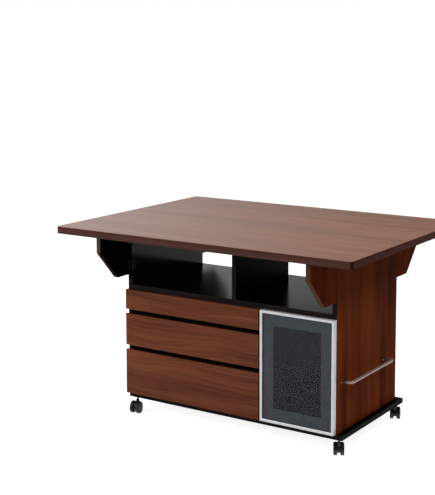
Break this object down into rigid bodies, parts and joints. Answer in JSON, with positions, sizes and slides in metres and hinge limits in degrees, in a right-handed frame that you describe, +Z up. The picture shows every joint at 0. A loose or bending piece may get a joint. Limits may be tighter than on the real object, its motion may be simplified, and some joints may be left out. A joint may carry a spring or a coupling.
{
  "type": "kitchen counter cabinet",
  "caption": "Kitchen counter on casters with drop leaves on folding brackets, an open shelf, drawers with finger gaps and a framed glass door.",
  "frame": {"origin": "on the floor under the middle of the open tabletop", "axes": "+X to the right along the front, +Y to the back, +Z up"},
  "size_m": [1.4, 1.05, 0.85],
  "materials": {
    "walnut": "satin laminate with a lengthwise grain",
    "black_board": "semi-gloss black laminate",
    "drawer_wood": "lacquered",
    "aluminium": "satin anodised",
    "smoked_glass": "polished",
    "border_band": "gloss behind the glass",
    "steel": "zinc plated",
    "bar_steel": "satin",
    "black_plastic": "matt",
    "wheel_plastic": "matt"
  },
  "bodies": {
    "carcass": {"tabletop_center": "walnut", "side_panel_left": "walnut", "side_panel_right": "walnut", "base_board": "black_board", "deck_board": "black_board", "upper_partition": "black_board", "lower_partition": "black_board", "back_panel": "black_board", "upper_drawer_rail": "black_board", "lower_drawer_rail": "black_board", "inner_shelf": "black_board", "shelf_pins": "steel", "runners_fixed": "steel", "door_hinge_arms": "steel", "door_catch": "black_plastic", "wing_hinge_fixed_plates": "steel", "wing_hinge_pins": "steel", "leaf_hinge_fixed_plates": "steel", "leaf_hinge_pins": "steel", "tabletop_angle_brackets": "steel", "towel_bar_rail": "bar_steel", "towel_bar_rosettes": "bar_steel", "caster_stems": "steel"},
    "drawer_top": {"drawer_front_top": "walnut", "drawer_box_top": "drawer_wood", "drawer_bottom_top": "drawer_wood", "runners_moving_top": "steel"},
    "drawer_middle": {"drawer_front_middle": "walnut", "drawer_box_middle": "drawer_wood", "drawer_bottom_middle": "drawer_wood", "runners_moving_middle": "steel"},
    "drawer_bottom": {"drawer_front_bottom": "walnut", "drawer_box_bottom": "drawer_wood", "drawer_bottom_bottom": "drawer_wood", "runners_moving_bottom": "steel"},
    "door": {"door_frame": "aluminium", "door_glass": "smoked_glass", "door_border": "border_band", "door_hinge_cups": "steel", "door_catch_strike": "steel"},
    "front_leaf": {"front_leaf": "walnut", "front_leaf_hinge_plates": "steel"},
    "rear_leaf": {"rear_leaf": "walnut", "rear_leaf_hinge_plates": "steel"},
    "wing_front_left": {"support_wing_front_left": "walnut", "wing_hinge_plates_front_left": "steel"},
    "wing_front_right": {"support_wing_front_right": "walnut", "wing_hinge_plates_front_right": "steel"},
    "wing_rear_left": {"support_wing_rear_left": "walnut", "wing_hinge_plates_rear_left": "steel"},
    "wing_rear_right": {"support_wing_rear_right": "walnut", "wing_hinge_plates_rear_right": "steel"},
    "caster_front_left": {"caster_fork_front_left": "black_plastic"},
    "wheels_front_left": {"caster_wheels_front_left": "wheel_plastic"},
    "caster_front_right": {"caster_fork_front_right": "black_plastic"},
    "wheels_front_right": {"caster_wheels_front_right": "wheel_plastic"},
    "caster_rear_left": {"caster_fork_rear_left": "black_plastic"},
    "wheels_rear_left": {"caster_wheels_rear_left": "wheel_plastic"},
    "caster_rear_right": {"caster_fork_rear_right": "black_plastic"},
    "wheels_rear_right": {"caster_wheels_rear_right": "wheel_plastic"}
  },
  "joints": [
    {"name": "drawer_top_slide", "type": "slide", "parent": "carcass", "child": "drawer_top", "axis": [0, -1, 0], "range_m": [0, 0.34]},
    {"name": "drawer_middle_slide", "type": "slide", "parent": "carcass", "child": "drawer_middle", "axis": [0, -1, 0], "range_m": [0, 0.34]},
    {"name": "drawer_bottom_slide", "type": "slide", "parent": "carcass", "child": "drawer_bottom", "axis": [0, -1, 0], "range_m": [0, 0.34]},
    {"name": "door_hinge", "type": "hinge", "parent": "carcass", "child": "door", "pos_m": [0.502, -0.295, 0.3265], "axis": [0, 0, 1], "range_deg": [0, 105]},
    {"name": "front_leaf_lift", "type": "hinge", "parent": "carcass", "child": "front_leaf", "pos_m": [0, -0.2995, 0.8155], "axis": [-1, 0, 0], "range_deg": [0, 1.5]},
    {"name": "rear_leaf_lift", "type": "hinge", "parent": "carcass", "child": "rear_leaf", "pos_m": [0, 0.2995, 0.8155], "axis": [1, 0, 0], "range_deg": [0, 1.5]},
    {"name": "wing_front_left_fold", "type": "hinge", "parent": "carcass", "child": "wing_front_left", "pos_m": [-0.4855, -0.274, 0.72225], "axis": [0, 0, 1], "range_deg": [0, 90]},
    {"name": "wing_front_right_fold", "type": "hinge", "parent": "carcass", "child": "wing_front_right", "pos_m": [0.4855, -0.274, 0.72225], "axis": [0, 0, -1], "range_deg": [0, 90]},
    {"name": "wing_rear_left_fold", "type": "hinge", "parent": "carcass", "child": "wing_rear_left", "pos_m": [-0.4855, 0.274, 0.72225], "axis": [0, 0, -1], "range_deg": [0, 90]},
    {"name": "wing_rear_right_fold", "type": "hinge", "parent": "carcass", "child": "wing_rear_right", "pos_m": [0.4855, 0.274, 0.72225], "axis": [0, 0, 1], "range_deg": [0, 90]},
    {"name": "caster_front_left_swivel", "type": "hinge", "parent": "carcass", "child": "caster_front_left", "pos_m": [-0.485, -0.248, 0.05], "axis": [0, 0, 1], "continuous": true},
    {"name": "wheels_front_left_roll", "type": "hinge", "parent": "caster_front_left", "child": "wheels_front_left", "pos_m": [-0.48222, -0.26376, 0.025], "axis": [0.9848, 0.1736, 0], "continuous": true},
    {"name": "caster_front_right_swivel", "type": "hinge", "parent": "carcass", "child": "caster_front_right", "pos_m": [0.511, -0.248, 0.05], "axis": [0, 0, 1], "continuous": true},
    {"name": "wheels_front_right_roll", "type": "hinge", "parent": "caster_front_right", "child": "wheels_front_right", "pos_m": [0.503, -0.23414, 0.025], "axis": [-0.866, -0.5, 0], "continuous": true},
    {"name": "caster_rear_left_swivel", "type": "hinge", "parent": "carcass", "child": "caster_rear_left", "pos_m": [-0.485, 0.272, 0.05], "axis": [0, 0, 1], "continuous": true},
    {"name": "wheels_rear_left_roll", "type": "hinge", "parent": "caster_rear_left", "child": "wheels_rear_left", "pos_m": [-0.49251, 0.28613, 0.025], "axis": [-0.8829, -0.4695, 0], "continuous": true},
    {"name": "caster_rear_right_swivel", "type": "hinge", "parent": "carcass", "child": "caster_rear_right", "pos_m": [0.511, 0.272, 0.05], "axis": [0, 0, 1], "continuous": true},
    {"name": "wheels_rear_right_roll", "type": "hinge", "parent": "caster_rear_right", "child": "wheels_rear_right", "pos_m": [0.50553, 0.28703, 0.025], "axis": [-0.9397, -0.342, 0], "continuous": true}
  ]
}
